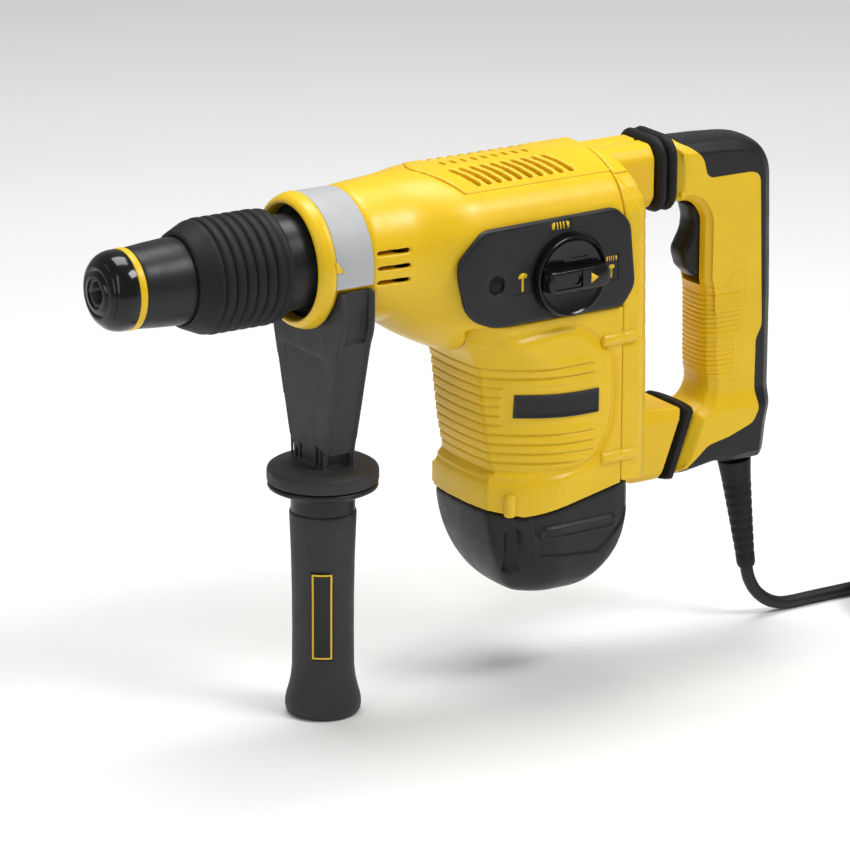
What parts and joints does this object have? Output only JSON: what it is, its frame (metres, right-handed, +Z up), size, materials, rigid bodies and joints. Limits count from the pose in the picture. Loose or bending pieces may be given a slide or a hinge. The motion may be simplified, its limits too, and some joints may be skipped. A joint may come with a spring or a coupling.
{
  "type": "demolition hammer",
  "caption": "Corded combination rotary and demolition hammer with quick-change bit chuck, hammer mechanism, rotating side grip, mode dial and floating rear D-handle.",
  "frame": {"origin": "centre of the mouth of the bit socket in the nose, on the tool's working axis", "axes": "+X out of the nose along the working axis, towards the bit; +Z up; +Y towards the side with the mode dial"},
  "size_m": [0.778, 0.181, 0.3385],
  "materials": {
    "yellow_gloss": "semi-gloss moulded nylon",
    "black_gloss": "gloss black moulded plastic",
    "black_plastic": "satin black moulded plastic",
    "grey_plastic": "light grey plastic, fine grain",
    "dark_grey_plastic": "dark grey satin plastic",
    "black_rubber": "matte black rubber",
    "steel": "machined steel",
    "black_steel": "satin black oxide steel",
    "spring_steel": "drawn spring steel",
    "cast_aluminium": "die-cast, fine sand",
    "brass": "brass",
    "laminated_steel": "stacked steel laminations with windings",
    "copper": "turned copper segments"
  },
  "bodies": {
    "housing": {"gear_housing": "yellow_gloss", "vent_cover": "yellow_gloss", "motor_housing": "yellow_gloss", "rear_cover": "yellow_gloss", "bottom_cap": "black_plastic", "left_panel": "dark_grey_plastic", "right_panel": "dark_grey_plastic", "collar_ring": "black_plastic", "front_tube": "cast_aluminium", "front_bearing": "steel", "rear_bushing": "brass", "upper_bearing": "steel", "lower_bearing": "steel", "stator": "laminated_steel", "brush_holder_left": "brass", "brush_holder_right": "brass", "brush_left": "dark_grey_plastic", "brush_right": "dark_grey_plastic", "upper_bellows": "black_rubber", "lower_bellows": "black_rubber", "float_pin": "steel"},
    "spindle": {"spindle": "steel", "spindle_gear": "steel", "nose_cap": "black_gloss", "nose_ring": "yellow_gloss", "chuck_tube": "black_steel", "chuck_spring": "spring_steel", "lock_roller_upper": "steel", "lock_roller_lower": "steel"},
    "release_sleeve": {"release_sleeve": "black_plastic"},
    "countershaft": {"countershaft": "steel"},
    "crank_gear": {"crank_gear": "steel"},
    "armature": {"armature_shaft": "steel", "fan": "black_plastic", "armature_core": "laminated_steel", "commutator": "copper"},
    "beat_piece": {"beat_piece": "steel"},
    "ram": {"ram": "steel"},
    "piston": {"piston": "cast_aluminium", "wrist_pin": "steel"},
    "conrod": {"conrod": "cast_aluminium"},
    "side_handle": {"clamp_strap": "grey_plastic", "clamp_yoke": "black_plastic"},
    "side_grip": {"grip_core": "black_plastic", "grip_sleeve": "black_rubber", "clamp_bolt": "steel"},
    "mode_dial": {"mode_dial": "black_gloss"},
    "rear_handle": {"handle_shell_left": "yellow_gloss", "handle_shell_right": "yellow_gloss", "handle_spine": "black_rubber", "damper_spring": "spring_steel", "trigger_spring": "spring_steel", "switch_body": "black_plastic", "cord_guard": "black_rubber", "cord_lead": "black_rubber", "cord_coil": "black_rubber", "cord_tie": "black_plastic", "cord_tail": "black_rubber", "plug": "black_rubber"},
    "trigger": {"trigger": "black_plastic"}
  },
  "joints": [
    {"name": "spindle_spin", "type": "hinge", "parent": "housing", "child": "spindle", "pos_m": [-0.1, 0, 0], "axis": [1, 0, 0], "continuous": true},
    {"name": "counter_spin", "type": "hinge", "parent": "housing", "child": "countershaft", "pos_m": [-0.221, 0, -0.03], "axis": [0, 0, 1], "continuous": true},
    {"name": "crank_spin", "type": "hinge", "parent": "housing", "child": "crank_gear", "pos_m": [-0.271, 0, -0.03], "axis": [0, 0, 1], "continuous": true},
    {"name": "armature_spin", "type": "hinge", "parent": "housing", "child": "armature", "pos_m": [-0.306, 0, -0.12], "axis": [0, 0, 1], "continuous": true},
    {"name": "sleeve_pull", "type": "slide", "parent": "spindle", "child": "release_sleeve", "axis": [-1, 0, 0], "range_m": [0, 0.008], "stiffness_N_per_m": 1800, "springref_m": -0.008, "deforming": ["chuck_spring"]},
    {"name": "beat_slide", "type": "slide", "parent": "spindle", "child": "beat_piece", "axis": [1, 0, 0], "range_m": [-0.01, 0.004]},
    {"name": "ram_slide", "type": "slide", "parent": "spindle", "child": "ram", "axis": [1, 0, 0], "range_m": [-0.006, 0.004]},
    {"name": "piston_slide", "type": "slide", "parent": "housing", "child": "piston", "axis": [1, 0, 0], "range_m": [0, 0.026]},
    {"name": "conrod_swing", "type": "hinge", "parent": "piston", "child": "conrod", "pos_m": [-0.232, 0, 0], "axis": [0, 0, 1], "range_deg": [-14.5, 14.5]},
    {"name": "side_handle_turn", "type": "hinge", "parent": "housing", "child": "side_handle", "pos_m": [-0.155, 0, 0], "axis": [1, 0, 0], "continuous": true},
    {"name": "side_grip_twist", "type": "hinge", "parent": "side_handle", "child": "side_grip", "pos_m": [-0.1569, 0, -0.2], "axis": [0, 0, 1], "continuous": true},
    {"name": "mode_dial_turn", "type": "hinge", "parent": "housing", "child": "mode_dial", "pos_m": [-0.298, 0.06, -0.019], "axis": [0, 1, 0], "range_deg": [0, 180]},
    {"name": "handle_float", "type": "hinge", "parent": "housing", "child": "rear_handle", "pos_m": [-0.396, 0, -0.155], "axis": [0, 1, 0], "range_deg": [0, 1.5], "stiffness_Nm_per_rad": 900, "springref_deg": -1.72, "deforming": ["upper_bellows", "lower_bellows", "damper_spring"]},
    {"name": "trigger_press", "type": "hinge", "parent": "rear_handle", "child": "trigger", "pos_m": [-0.4325, 0, -0.0075], "axis": [0, 1, 0], "range_deg": [0, 9], "stiffness_Nm_per_rad": 2, "springref_deg": -8.59, "deforming": ["trigger_spring"]}
  ],
  "couplings": [
    {"joint": "counter_spin", "follows": "spindle_spin", "ratio": 4.5},
    {"joint": "crank_spin", "follows": "spindle_spin", "ratio": -3},
    {"joint": "armature_spin", "follows": "spindle_spin", "ratio": 18}
  ]
}
